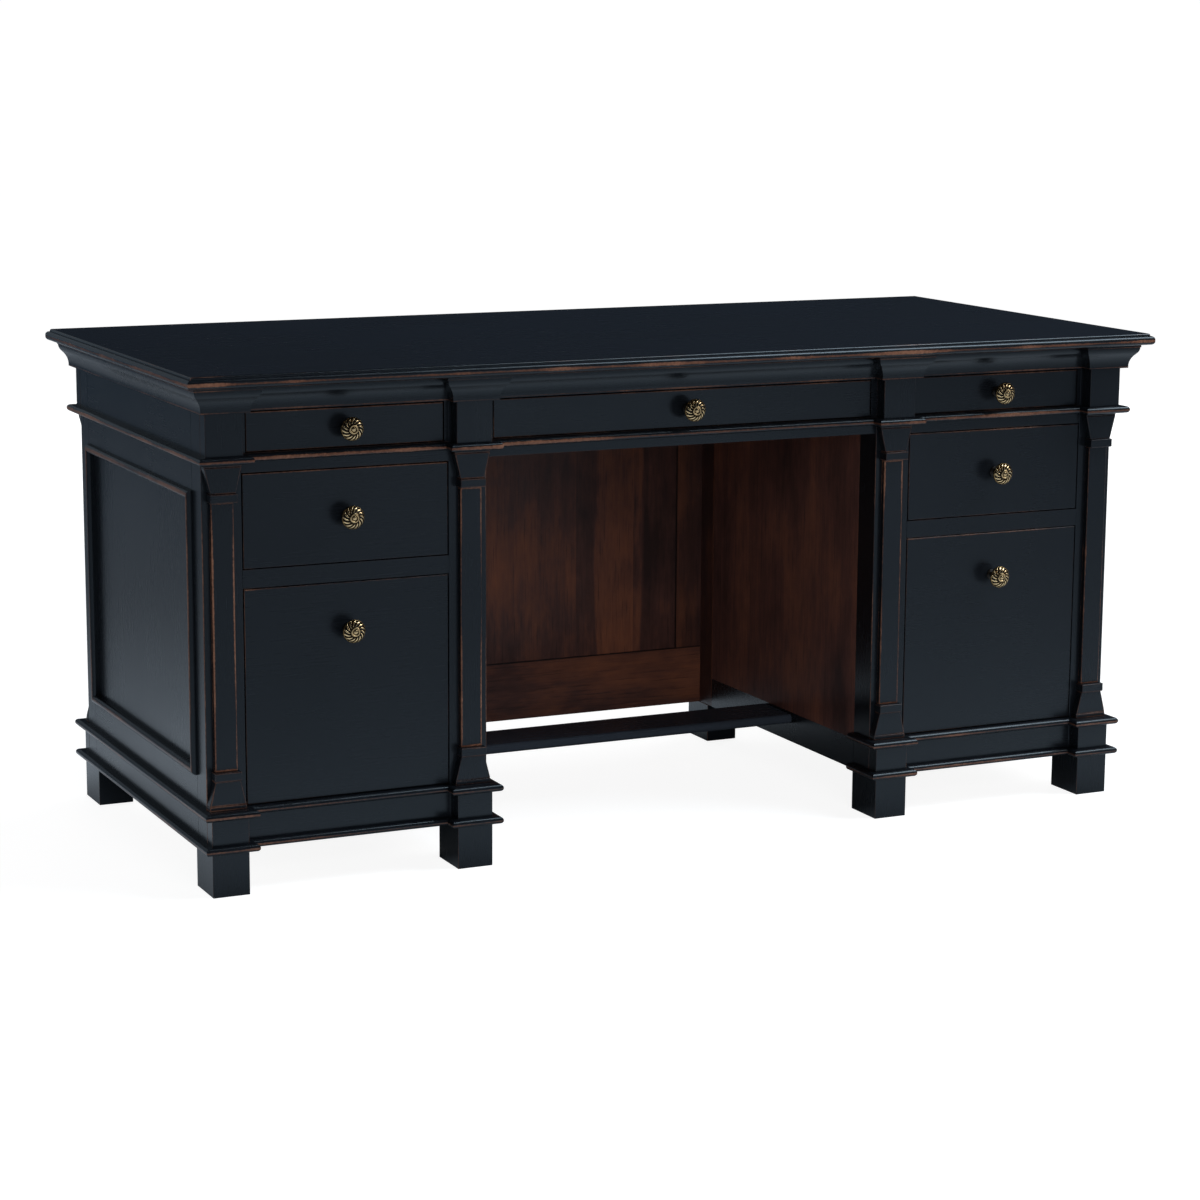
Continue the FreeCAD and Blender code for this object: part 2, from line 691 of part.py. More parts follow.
def make_drawer(name, middle, width, opening, front_height, knob_level):
    # a flush front, a box of two sides and a back behind it, a bottom between them, and a knob
    front_back = "front_thickness - face_plane"
    end = "drawer_end"
    front_level = f"{opening} + front_gap"
    front = board(f"{name}_front_blank", (f"{middle} - {width} / 2", f"{middle} + {width} / 2"),
                  ("-face_plane", front_back), (front_level, f"{front_level} + {front_height}"))
    keep(eased(front), f"{name}_front")
    outer = f"{width} / 2 - drawer_side_setback"
    inner = f"{outer} - drawer_side_thickness"
    box_level = f"{opening} + ride_gap"
    box_z = (box_level, f"{box_level} + {front_height} - drawer_headroom")
    left_x = (f"{middle} - ({outer})", f"{middle} - ({inner})")
    right_x = (f"{middle} + {inner}", f"{middle} + {outer}")
    between_x = (left_x[1], right_x[0])
    back_y = (f"{end} - drawer_side_thickness", end)
    keep_group(f"{name}_box", [
        board(f"{name}_left_side", left_x, (front_back, end), box_z),
        board(f"{name}_right_side", right_x, (front_back, end), box_z),
        board(f"{name}_back", between_x, back_y, box_z),
    ])
    bottom_level = f"{box_level} + drawer_bottom_lift"
    bottom = board(f"{name}_bottom", between_x, (front_back, back_y[0]),
                   (bottom_level, f"{bottom_level} + drawer_bottom_thickness"))
    keep(bottom, f"{name}_bottom")
    make_knob(f"{name}_knob", middle, knob_level)


def make_guides(name, middle, width, opening):
    # a strip on each side of a drawer, resting on the board that it runs on
    edge = f"{width} / 2 - drawer_side_setback + guide_gap"
    y = ("-board_plane", "board_plane")
    z = (opening, f"{opening} + guide_height")
    half = "opening_width / 2"
    return [
        board(f"{name}_left_guide", (f"{middle} - {half}", f"{middle} - ({edge})"), y, z),
        board(f"{name}_right_guide", (f"{middle} + {edge}", f"{middle} + {half}"), y, z),
    ]


def make_drawers():
    lower_knob = "carcase_level + front_gap + lower_front_height - lower_knob_drop"
    middle_knob = "middle_level + front_gap + middle_front_height / 2"
    frieze_knob = "frieze_opening + front_gap + frieze_front_height / 2"
    stages = {
        "lower": ("front_width", "carcase_level", "lower_front_height", lower_knob),
        "middle": ("front_width", "middle_level", "middle_front_height", middle_knob),
        "upper": ("frieze_front_width", "frieze_opening", "frieze_front_height", frieze_knob),
    }
    guides = []
    for side, sign in sides.items():
        middle = f"({sign}) * pedestal_middle"
        for stage, (width, opening, height, knob_level) in stages.items():
            name = f"{side}_{stage}_drawer"
            make_drawer(name, middle, width, opening, height, knob_level)
            guides += make_guides(name, middle, width, opening)
    keep_group("drawer_guides", guides)
    make_drawer("centre_drawer", "0", "centre_front_width", "frieze_opening", "frieze_front_height",
                frieze_knob)


def check_and_write():
    doc.recompute()
    for item in doc.Objects:
        if "Invalid" in item.State or "Error" in item.State:
            raise RuntimeError(f"{item.Label} did not compute: {item.State}")
    for item in nodes:
        if item.Shape.isNull() or not item.Shape.isValid() or not item.Shape.Solids:
            raise RuntimeError(f"{item.Label} has no sound solid")
    os.makedirs("parts", exist_ok=True)
    for item in nodes:
        item.Shape.exportStep(f"parts/{item.Label}.step")
    print(f"{len(nodes)} nodes, {sum(len(item.Shape.Solids) for item in nodes)} solids")


make_slab()
make_mouldings()
make_blocks_and_feet()
make_pilasters()
make_posts()
make_face_frames()
make_carcase_boards()
make_modesty_and_stretcher()
make_drawers()
check_and_write()
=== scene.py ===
import math
import bpy
import numpy as np
from mathutils import Matrix, Vector


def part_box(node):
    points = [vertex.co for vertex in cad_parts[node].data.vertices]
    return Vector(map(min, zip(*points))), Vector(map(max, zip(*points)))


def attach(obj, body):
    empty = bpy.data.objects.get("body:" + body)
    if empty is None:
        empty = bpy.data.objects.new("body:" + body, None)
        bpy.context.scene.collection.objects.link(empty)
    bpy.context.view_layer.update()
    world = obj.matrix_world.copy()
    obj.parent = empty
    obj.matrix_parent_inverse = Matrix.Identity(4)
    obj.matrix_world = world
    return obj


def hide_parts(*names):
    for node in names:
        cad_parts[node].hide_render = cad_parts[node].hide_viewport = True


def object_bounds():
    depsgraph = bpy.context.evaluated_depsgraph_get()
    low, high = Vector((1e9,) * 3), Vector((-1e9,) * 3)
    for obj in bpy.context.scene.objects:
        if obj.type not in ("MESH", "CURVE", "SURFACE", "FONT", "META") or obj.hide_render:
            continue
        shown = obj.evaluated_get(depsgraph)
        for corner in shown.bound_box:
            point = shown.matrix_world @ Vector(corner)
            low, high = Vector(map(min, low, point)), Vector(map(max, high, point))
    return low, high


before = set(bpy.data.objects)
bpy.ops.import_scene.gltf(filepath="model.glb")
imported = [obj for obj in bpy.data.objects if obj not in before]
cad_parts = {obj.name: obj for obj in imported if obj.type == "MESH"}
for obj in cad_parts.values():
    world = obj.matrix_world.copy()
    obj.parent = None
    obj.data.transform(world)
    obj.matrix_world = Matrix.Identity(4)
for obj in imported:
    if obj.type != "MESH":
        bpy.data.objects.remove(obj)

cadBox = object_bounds()
mm = 0.001
print("frame loaded:", len(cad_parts), "nodes")


class Wire:
    # a shader value that takes part in plain arithmetic; every operation adds one Math node
    def __init__(self, recipe, socket):
        self.recipe = recipe
        self.socket = socket

    def math(self, operation, *others):
        inputs = dict(enumerate((self, *others)))
        return self.recipe.node("ShaderNodeMath", {"operation": operation}, inputs)

    def reflected(self, operation, other):
        return self.recipe.node("ShaderNodeMath", {"operation": operation}, {0: other, 1: self})

    def __add__(self, other):
        return self.math("ADD", other)

    def __radd__(self, other):
        return self.reflected("ADD", other)

    def __sub__(self, other):
        return self.math("SUBTRACT", other)

    def __rsub__(self, other):
        return self.reflected("SUBTRACT", other)

    def __mul__(self, other):
        return self.math("MULTIPLY", other)

    def __rmul__(self, other):
        return self.reflected("MULTIPLY", other)

    def __truediv__(self, other):
        return self.math("DIVIDE", other)

    def __abs__(self):
        return self.math("ABSOLUTE")

    def least(self, other):
        return self.math("MINIMUM", other)

    def most(self, other):
        return self.math("MAXIMUM", other)

    def floor(self):
        return self.math("FLOOR")

    def sine(self):
        return self.math("SINE")

    def ramp(self, low, high):
        # 0 below low, 1 above high, a smooth rise between
        settings = {"interpolation_type": "SMOOTHSTEP", "clamp": True}
        inputs = {"Value": self, "From Min": low, "From Max": high}
        return self.recipe.node("ShaderNodeMapRange", settings, inputs)


class Recipe:
    # one material: its node tree, its Principled shader and the coordinates that patterns read
    def __init__(self, name):
        self.material = bpy.data.materials.new(name)
        self.material.use_nodes = True
        self.tree = self.material.node_tree
        self.shader = next(n for n in self.tree.nodes if n.type == "BSDF_PRINCIPLED")
        self.place = self.node("ShaderNodeTexCoord", {}, {}, "Object")
        parts = [self.node("ShaderNodeSeparateXYZ", {}, {0: self.place}, axis) for axis in range(3)]
        self.x, self.y, self.z = parts

    def node(self, kind, settings, inputs, output=0):
        made = self.tree.nodes.new(kind)
        for key, value in settings.items():
            if key == "stops":
                self.fillRamp(made.color_ramp, value)
            else:
                setattr(made, key, value)
        for key, value in inputs.items():
            named = [s for s in made.inputs if s.identifier == key]
            self.feed(named[0] if named else made.inputs[key], value)
        named = [s for s in made.outputs if s.identifier == output]
        return Wire(self, named[0] if named else made.outputs[output])

    def feed(self, socket, value):
        if isinstance(value, Wire):
            self.tree.links.new(value.socket, socket)
        else:
            socket.default_value = value

    def fillRamp(self, ramp, stops):
        while len(ramp.elements) < len(stops):
            ramp.elements.new(1.0)
        for element, (position, colour) in zip(ramp.elements, stops):
            element.position = position
            element.color = (*colour, 1.0)

    def joined(self, x, y, z):
        return self.node("ShaderNodeCombineXYZ", {}, {"X": x, "Y": y, "Z": z})

    def noise(self, scale, detail=3.0, at=None, rough=0.55):
        vector = self.place if at is None else at
        inputs = {"Vector": vector, "Scale": scale, "Detail": detail, "Roughness": rough}
        return self.node("ShaderNodeTexNoise", {}, inputs)

    def colours(self, value, stops):
        return self.node("ShaderNodeValToRGB", {"stops": stops}, {"Fac": value})

    def mix(self, share, first, second):
        inputs = {"Factor_Float": share, "A_Color": first, "B_Color": second}
        return self.node("ShaderNodeMix", {"data_type": "RGBA"}, inputs, "Result_Color")

    def bump(self, height, distance, strength):
        inputs = {"Height": height, "Distance": distance, "Strength": strength}
        return self.node("ShaderNodeBump", {}, inputs)

    def lightPath(self, ray):
        return self.node("ShaderNodeLightPath", {}, {}, ray)

    def finish(self, **sockets):
        for name, value in sockets.items():
            self.feed(self.shader.inputs[name.replace("_", " ")], value)
        return self.material


class Layer:
    # one finish inside a recipe: its colour, its roughness and the height of its surface
    def __init__(self, recipe, colour, roughness, height):
        self.recipe = recipe
        self.colour = colour
        self.roughness = roughness
        self.height = height

    def under(self, mask, other):
        # the other finish where the mask is 1
        colour = self.recipe.mix(mask, self.colour, other.colour)
        roughness = self.roughness + (other.roughness - self.roughness) * mask
        return Layer(self.recipe, colour, roughness, self.height + (other.height - self.height) * mask)

    def finish(self, specular, depth, strength, tint=(1.0, 1.0, 1.0)):
        normal = self.recipe.bump(self.height, depth, strength)
        return self.recipe.finish(Base_Color=self.colour, Roughness=self.roughness, Normal=normal,
                                  Specular_IOR_Level=specular, Specular_Tint=opaque(tint))


def opaque(colour):
    return (*colour, 1.0)


def dress(node, material):
    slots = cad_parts[node].data.materials
    if len(slots) == 0:
        slots.append(material)
    for index in range(len(slots)):
        slots[index] = material


def facePlanes(node, axis, folded):
    # where a node's flat faces square to one axis lie, in metres; folded counts both signs as one
    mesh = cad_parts[node].data
    count = len(mesh.polygons)
    normals = np.empty(count * 3, np.float32)
    centres = np.empty(count * 3, np.float32)
    mesh.polygons.foreach_get("normal", normals)
    mesh.polygons.foreach_get("center", centres)
    square = np.abs(normals.reshape(-1, 3)[:, axis]) > 0.999
    along = centres.reshape(-1, 3)[square, axis]
    if folded:
        along = np.abs(along)
    halfMillimetres = np.unique(np.round(along / (0.5 * mm)).astype(int))
    return [float(value) * 0.5 * mm for value in halfMillimetres]


# blue-black paint, rubbed through to the brown wood along its edges

paint = {
    "deep": (0.0047, 0.0059, 0.0081),
    "pale": (0.0077, 0.0093, 0.0121),
    "specular": 0.30, "tint": (0.80, 0.92, 1.0),
    "roughness": 0.27,
    "rubbedWood": [(0.0, (0.024, 0.010, 0.006)), (0.5, (0.130, 0.052, 0.028)), (1.0, (0.34, 0.165, 0.100))],
    "grainScale": (9.0, 190.0),       # along the grain and across it, per metre
    "cloudScale": 3.2, "gritScale": 900.0,
    "tone": (0.8, 0.3, -0.05),        # what clouds and grain add to the paleness, and its start
    "sheen": (0.12, 0.05),            # what clouds and grain add to the roughness
    "relief": (0.7, 0.3),             # how much of the height is grain and how much is grit
    "fade": 0.8 * mm,                 # how softly the paint ends at a rub
    "patchScale": 6.0,                # long and short stretches of wear, per metre
    "chipScale": 240.0,               # the ragged edge of a rub
    "wearStarts": (0.36, 0.70),       # the noise from which a stretch is worn a little and fully
    "rubWidth": (0.45, 0.95, 1.1),    # in shares of the reach: the least, and what wear and chips add
    "rubTone": (0.28, 0.50, 0.9),     # the place in rubbedWood: its start, and what wear and chips add
    "bareRoughness": 0.10, "bareDepth": 0.8,
    "bump": (0.25 * mm, 0.08),
}


def paintLayer(recipe, grainAxis, rubs, paleness=1.0):
    # rubs is a list of (distance from the rubbed line, reach in metres, strength)
    deep, pale = (opaque([paleness * value for value in paint[key]]) for key in ("deep", "pale"))
    alongScale, acrossScale = paint["grainScale"]
    stretch = {axis: (alongScale if axis == grainAxis else acrossScale) for axis in "xyz"}
    along = recipe.joined(recipe.x * stretch["x"], recipe.y * stretch["y"], recipe.z * stretch["z"])
    grain = recipe.noise(1.0, 4.0, along, 0.6)
    cloud = recipe.noise(paint["cloudScale"], 3.0)
    cloudTone, grainTone, toneStart = paint["tone"]
    colour = recipe.mix(cloud * cloudTone + grain * grainTone + toneStart, deep, pale)
    cloudSheen, grainSheen = paint["sheen"]
    roughness = paint["roughness"] + cloudSheen * (cloud - 0.5) + grainSheen * (grain - 0.5)
    grainShare, gritShare = paint["relief"]
    height = grain * grainShare + recipe.noise(paint["gritScale"], 2.0) * gritShare
    if not rubs:
        return Layer(recipe, colour, roughness, height)
    patch = recipe.noise(paint["patchScale"], 3.0, None, 0.6)
    chips = recipe.noise(paint["chipScale"], 3.0, None, 0.7)
    wear = patch.ramp(*paint["wearStarts"])
    leastWidth, wearWidth, chipWidth = paint["rubWidth"]
    bare = None
    for distance, reach, strength in rubs:
        width = reach * (leastWidth + wearWidth * wear + chipWidth * (chips - 0.5))
        line = ((width - distance) / paint["fade"]).ramp(-0.5, 1.0) * strength
        bare = line if bare is None else bare.most(line)
    toneStart, wearTone, chipTone = paint["rubTone"]
    wood = recipe.colours(toneStart + wearTone * wear + chipTone * (chips - 0.5), paint["rubbedWood"])
    colour = recipe.mix(bare, colour, wood)
    roughness = roughness + paint["bareRoughness"] * bare
    return Layer(recipe, colour, roughness, height - paint["bareDepth"] * bare)


def dressPainted(node, grainAxis, rubs=(), specular=paint["specular"], paleness=1.0):
    # each rub is given as (function of a recipe, reach in mm, strength)
    recipe = Recipe(node + "Paint")
    lines = [(distance(recipe), reach * mm, strength) for distance, reach, strength in rubs]
    layer = paintLayer(recipe, grainAxis, lines, paleness)
    dress(node, layer.finish(specular, *paint["bump"], paint["tint"]))


farAway = [10.0]        # stands in for the planes of an axis that has no rubbed arris


def nearestOf(value, planes):
    gap = abs(value - planes[0])
    for plane in planes[1:]:
        gap = gap.least(abs(value - plane))
    return gap


def middleOf(first, second, third):
    # on a box one distance is nought, so the middle one is how far the nearest arris is
    return first.least(second).most(first.most(second).least(third))


def arris(xPlanes, yPlanes, zPlanes, folded=True):
    def distance(recipe):
        x = abs(recipe.x) if folded else recipe.x
        y = abs(recipe.y) if folded else recipe.y
        return middleOf(nearestOf(x, xPlanes), nearestOf(y, yPlanes), nearestOf(recipe.z, zPlanes))
    return distance


def nodeArris(node, folded=True):
    xPlanes, yPlanes = (facePlanes(node, axis, folded) for axis in (0, 1))
    return arris(xPlanes, yPlanes, facePlanes(node, 2, False), folded)


def levelLine(level):
    return lambda recipe: abs(recipe.z - level)


boxWear = {
    # node: (grain, reach in mm, strength)
    "feet": ("z", 0.7, 0.7),
    "plinth_blocks": ("x", 0.6, 0.6),
    "frieze_blocks": ("z", 0.6, 0.6),
    "pilaster_shafts": ("z", 1.9, 1.0),
    "pilaster_collars": ("x", 0.6, 0.4),
}
drawerFrontWear = ("x", 0.65, 0.7)


def paintBoxes():
    for node, (grain, reach, strength) in boxWear.items():
        dressPainted(node, grain, [(nodeArris(node), reach, strength)])
    grain, reach, strength = drawerFrontWear
    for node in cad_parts:
        if node.endswith("_drawer_front"):
            dressPainted(node, grain, [(nodeArris(node, False), reach, strength)])


# reaches in mm and strengths; a level is counted up from the bottom of its piece
faceFrameWear = (0.3, 0.35)
noseWear = {
    # node: (reach in mm, strength, how far the line lies under the nose)
    "waist_moulding": (2.3, 1.0, 0.8 * mm),
    "upper_base_moulding": (1.4, 0.8, 0.8 * mm),
    "lower_base_moulding": (1.4, 0.8, 0.8 * mm),
}
# the lip's height above the crown's foot, the cap line's depth under its head, each with reach and strength
crownWear = {"lip": (1.5 * mm, 0.8, 0.7), "cap": (4.5 * mm, 0.7, 0.7)}
endBeadWear = (0.7, 0.8)
topWear = {
    "noseLevel": 6.4 * mm, "nose": (2.2, 1.0),
    "stepBack": 6 * mm, "step": (1.0, 0.8),
    "underLevel": 0.4 * mm, "under": (0.6, 0.6),
}


def paintFaceFrames():
    for node in ("left_face_frame", "right_face_frame", "centre_face_frame"):
        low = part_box(node)[0]
        rails = arris(farAway, [-low[1]], facePlanes(node, 2, False))
        dressPainted(node, "x", [(rails, *faceFrameWear)])


def paintMouldings():
    for node, (reach, strength, drop) in noseWear.items():
        low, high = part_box(node)
        nose = levelLine((low[2] + high[2]) / 2 - drop)
        dressPainted(node, "x", [(nose, reach, strength)])
    low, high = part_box("crown_moulding")
    lipRise, lipReach, lipStrength = crownWear["lip"]
    capDrop, capReach, capStrength = crownWear["cap"]
    lip = (levelLine(low[2] + lipRise), lipReach, lipStrength)
    cap = (levelLine(high[2] - capDrop), capReach, capStrength)
    dressPainted("crown_moulding", "x", [lip, cap])
    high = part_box("end_beads")[1]
    dressPainted("end_beads", "z", [(lambda recipe: high[0] - abs(recipe.x), *endBeadWear)])


def paintTop():
    low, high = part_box("top_slab")
    nose = levelLine(low[2] + topWear["noseLevel"])
    step = arris([high[0] - topWear["stepBack"]], [high[1] - topWear["stepBack"]], [high[2]])
    under = levelLine(low[2] + topWear["underLevel"])
    lines = (("nose", nose), ("step", step), ("under", under))
    dressPainted("top_slab", "x", [(line, *topWear[name]) for name, line in lines])


pilasterEnd = {"neckHalf": 18.5 * mm, "wear": (0.7, 0.55)}


def paintPilasterEnds():
    # the arrises of a tapering block: its half width grows or shrinks as it rises
    feetPlanes = facePlanes("feet", 0, True)
    blockHalf = (feetPlanes[-1] - feetPlanes[-2]) / 2
    pedestalMiddle = (feetPlanes[0] + feetPlanes[-1]) / 2
    blockOffset = feetPlanes[-1] - blockHalf - pedestalMiddle
    for node in ("pilaster_bases", "pilaster_capitals"):
        low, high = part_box(node)
        planes = facePlanes(node, 2, False)
        if node == "pilaster_capitals":
            bottom, top, first, last = low[2], planes[-2], pilasterEnd["neckHalf"], blockHalf
        else:
            bottom, top, first, last = planes[1], high[2], blockHalf, pilasterEnd["neckHalf"]

        def distance(recipe):
            fromBlock = abs(abs(abs(recipe.x) - pedestalMiddle) - blockOffset)
            rise = ((recipe.z - bottom) / (top - bottom)).most(0.0).least(1.0)
            side = abs(fromBlock - (first + (last - first) * rise))
            return middleOf(side, abs(abs(recipe.y) - high[1]), nearestOf(recipe.z, planes))

        dressPainted(node, "z", [(distance, *pilasterEnd["wear"])])


plainPainted = {"plinth_boards": "x", "end_frames": "y", "end_panels": "z", "end_friezes": "y",
                "back_panels": "z", "back_friezes": "x"}
stretcherDullnessAndPaintedLight = (0.05, 6.0)       # its specular level, so it is duller than the rest, and its paleness, a painted lift that makes up for the shade it stands in

paintBoxes()
paintFaceFrames()
paintMouldings()
paintTop()
paintPilasterEnds()
for node, grain in plainPainted.items():
    dressPainted(node, grain)
# the stretcher's paint is six times paler than the rest: painted light for the kneehole's shade
dressPainted("stretcher", "x", (), *stretcherDullnessAndPaintedLight)
print("paint done")


# walnut boards of the kneehole and plain wood inside the drawers

walnut = {
    "dark": (0.026, 0.0138, 0.0128), "middle": (0.070, 0.0305, 0.0250), "light": (0.185, 0.0665, 0.0365),
    "boardWidth": 0.125, "roughness": 0.42, "specular": 0.26,
    "toneSpread": 0.24, "figure": 0.75, "cloud": 1.1,
}
# the kneehole's sides: walnut written about twice as light as the rest, painted light that makes up for the
# shade they stand in, and duller
sideWalnutPaintedLight = {**walnut, "dark": (0.062, 0.0330, 0.0300), "middle": (0.150, 0.0650, 0.0520),
              "light": (0.30, 0.116, 0.069), "roughness": 0.55, "specular": 0.10}
# the modesty frame's stiles: walnut written darker than the rest, painted shade of the kneehole's back
# corners
stileWalnutPaintedShade = {**walnut, "dark": (0.019, 0.0098, 0.0090), "middle": (0.048, 0.0210, 0.0172),
               "light": (0.125, 0.0460, 0.0260)}
drawerWood = {
    "dark": (0.085, 0.045, 0.023), "middle": (0.150, 0.085, 0.044), "light": (0.21, 0.125, 0.068),
    "boardWidth": 0.16, "roughness": 0.55, "specular": 0.3,
    "toneSpread": 0.35, "figure": 0.6, "cloud": 0.4,
}
woodGrain = {
    # the scale of each noise across the grain and along it, per metre
    "bend": (7.0, 2.6), "figure": (15.0, 2.2), "streaks": (75.0, 2.6),
    "flecks": (210.0, 34.0), "fibres": (420.0, 12.0), "cloud": (8.0, 4.6),
    "bendReach": 0.034,               # how far the figure is bent sideways, in metres
    "boardWander": (0.014, 37.0),     # how far the edges of boards move, in metres, and how fast
    "fibreShare": 0.14, "streakShare": 0.30, "fleckShare": 0.26,
    "stops": (0.22, 0.50, 0.86),      # the levels of the dark, the middle and the light colour
    "poreStarts": (0.30, 0.44), "poreShade": 0.6,
    "sheen": (0.20, 0.10),            # what clouds and fibres add to the roughness
    "relief": (0.6, 0.4),             # how much of the height is pores and how much is figure
    "bump": (0.2 * mm, 0.4),
}


def woodLayer(recipe, wood, across, along, seed=0.0, paleBoard=None):
    # boards side by side, each with its own tone; the figure is noise drawn out along the grain
    # and bent by slower noise, and clouds and flecks lie over it
    def drawn(name, sideways, lengthwise, third, detail, rough=0.6):
        acrossScale, alongScale = woodGrain[name]
        at = recipe.joined(sideways * acrossScale, along * alongScale + lengthwise, third)
        return recipe.noise(1.0, detail, at, rough)

    bend = drawn("bend", across, 0.0, seed, 2.0, 0.55) - 0.5
    wander, wanderRate = woodGrain["boardWander"]
    board = ((across + wander * (across * wanderRate).sine()) / wood["boardWidth"] + seed).floor()
    tone = recipe.node("ShaderNodeTexWhiteNoise", {"noise_dimensions": "1D"}, {"W": board + 7.0})
    bent = across + woodGrain["bendReach"] * bend
    figure = drawn("figure", bent, tone * 9.0, tone * 5.0, 4.0)
    streaks = drawn("streaks", bent, 0.0, tone * 11.0, 3.0)
    flecks = drawn("flecks", across, 0.0, seed + 1.0, 3.0)
    fibres = drawn("fibres", across, 0.0, tone * 3.0, 3.0)
    cloud = drawn("cloud", across, 0.0, seed + 2.0, 4.0)
    level = 0.5 + wood["toneSpread"] * (tone - 0.5)
    for noise, share in ((figure, wood["figure"]), (cloud, wood["cloud"]), (fibres, woodGrain["fibreShare"]),
                         (streaks, woodGrain["streakShare"]), (flecks, woodGrain["fleckShare"])):
        level = level + share * (noise - 0.5)
    if paleBoard:
        middle, half, lift = paleBoard
        level = level + lift * (1.0 - (abs(bent - middle) / half).ramp(0.85, 1.0))
    stops = [(stop, wood[name]) for stop, name in zip(woodGrain["stops"], ("dark", "middle", "light"))]
    pores = fibres.ramp(*woodGrain["poreStarts"])
    poreShade = woodGrain["poreShade"] * (1.0 - pores)
    colour = recipe.mix(poreShade, recipe.colours(level, stops), opaque(wood["dark"]))
    cloudSheen, fibreSheen = woodGrain["sheen"]
    roughness = wood["roughness"] + cloudSheen * (cloud - 0.5) + fibreSheen * (fibres - 0.5)
    poreDepth, figureDepth = woodGrain["relief"]
    return Layer(recipe, colour, roughness, pores * poreDepth + figure * figureDepth)


def dressWood(node, wood, acrossAxis, alongAxis, seed=0.0):
    recipe = Recipe(node + "Wood")
    axes = {"x": recipe.x, "y": recipe.y, "z": recipe.z}
    layer = woodLayer(recipe, wood, axes[acrossAxis], axes[alongAxis], seed)
    dress(node, layer.finish(wood["specular"], *woodGrain["bump"]))


# a lighter board of the panel: its middle, its half width and its lift
modestyPale = (0.172, 0.045, 0.30)
# the dark line round the panel: the joint, darkened further as painted shade where the panel is sunk
modestyJointAndShade = {"reach": 1.8 * mm, "strength": 0.85, "shade": (0.006, 0.004, 0.004)}
modestyFade = {"rail": 0.2 * mm, "paint": 0.5 * mm}


def dressModesty():
    # walnut towards the kneehole, paint on the back; the rail runs through under the upright stiles,
    # whose darker walnut is painted shade of the kneehole's back corners, and a dark line marks the joint
    # round the panel and, as painted shade, deepens the shadow where the panel is sunk
    panelLow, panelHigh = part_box("modesty_panel")
    stileEdge, railTop = panelHigh[0], panelLow[2]
    # the frame's stiles take the darker walnut, painted shade of the back corners
    for node, seed, wood in (("modesty_panel", 3.3, walnut), ("modesty_frame", 1.6, stileWalnutPaintedShade)):
        low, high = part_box(node)
        recipe = Recipe(node + "Wood")
        upright = woodLayer(recipe, wood, recipe.x, recipe.z, seed, modestyPale)
        if node == "modesty_frame":
            rail = woodLayer(recipe, walnut, recipe.z, recipe.x, seed + 4.0)
            fade = modestyFade["rail"]
            upright = rail.under(recipe.z.ramp(railTop - fade, railTop + fade), upright)
        edge = abs(abs(recipe.x) - stileEdge).most(railTop - recipe.z).least(abs(recipe.z - railTop))
        jointAndShade = (1.0 - (edge / modestyJointAndShade["reach"]).ramp(0.4, 1.0)) * modestyJointAndShade["strength"]
        upright.colour = recipe.mix(jointAndShade, upright.colour, opaque(modestyJointAndShade["shade"]))
        middle = (low[1] + high[1]) / 2
        painted = paintLayer(recipe, "z", [])
        layer = upright.under(recipe.y.ramp(middle, middle + modestyFade["paint"]), painted)
        dress(node, layer.finish(walnut["specular"], *woodGrain["bump"]))


postWear = {
    "rub": (0.8 * mm, 0.9),                              # reach and strength along the arrises
    "cornerReach": 2.6 * mm, "cornerStrength": 0.8,      # the pale corner
    "skin": 1.0 * mm, "fade": 0.5 * mm,                  # how deep the walnut faces go and how they end
}


def dressPosts():
    # painted posts; where the two at the back face the kneehole they are walnut, with a pale rubbed corner
    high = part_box("corner_posts")[1]
    knee = facePlanes("corner_posts", 0, True)[0]
    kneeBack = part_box("left_inner_side")[1][1]
    recipe = Recipe("cornerPostPaint")
    edges = arris([knee, high[0]], [high[1]], farAway)(recipe)
    painted = paintLayer(recipe, "z", [(edges, *postWear["rub"])])
    bare = woodLayer(recipe, walnut, recipe.y, recipe.z, 5.0)
    corner = 1.0 - (abs(recipe.y - kneeBack) / postWear["cornerReach"]).ramp(0.3, 1.0)
    corner = corner * postWear["cornerStrength"]
    bare.colour = recipe.mix(corner, bare.colour, opaque(walnut["light"]))
    skin = postWear["skin"]
    inside = (knee + skin - abs(recipe.x)).ramp(0.0, postWear["fade"]) * recipe.y.ramp(0.0, skin)
    layer = painted.under(inside, bare)
    dress("corner_posts", layer.finish(paint["specular"], *paint["bump"], paint["tint"]))


# the inner sides in their lightened walnut, painted light for their shade
dressWood("left_inner_side", sideWalnutPaintedLight, "y", "z", 0.4)
dressWood("right_inner_side", sideWalnutPaintedLight, "y", "z", 2.2)
dressModesty()
dressPosts()
for node in ("pedestal_bottoms", "dust_boards", "drawer_guides", "centre_runners"):
    dressWood(node, drawerWood, "x", "y")
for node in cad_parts:
    if node.endswith("_drawer_box"):
        dressWood(node, drawerWood, "z", "y")
    if node.endswith("_drawer_bottom"):
        dressWood(node, drawerWood, "x", "y")
print("wood done")


# brass rosette knobs

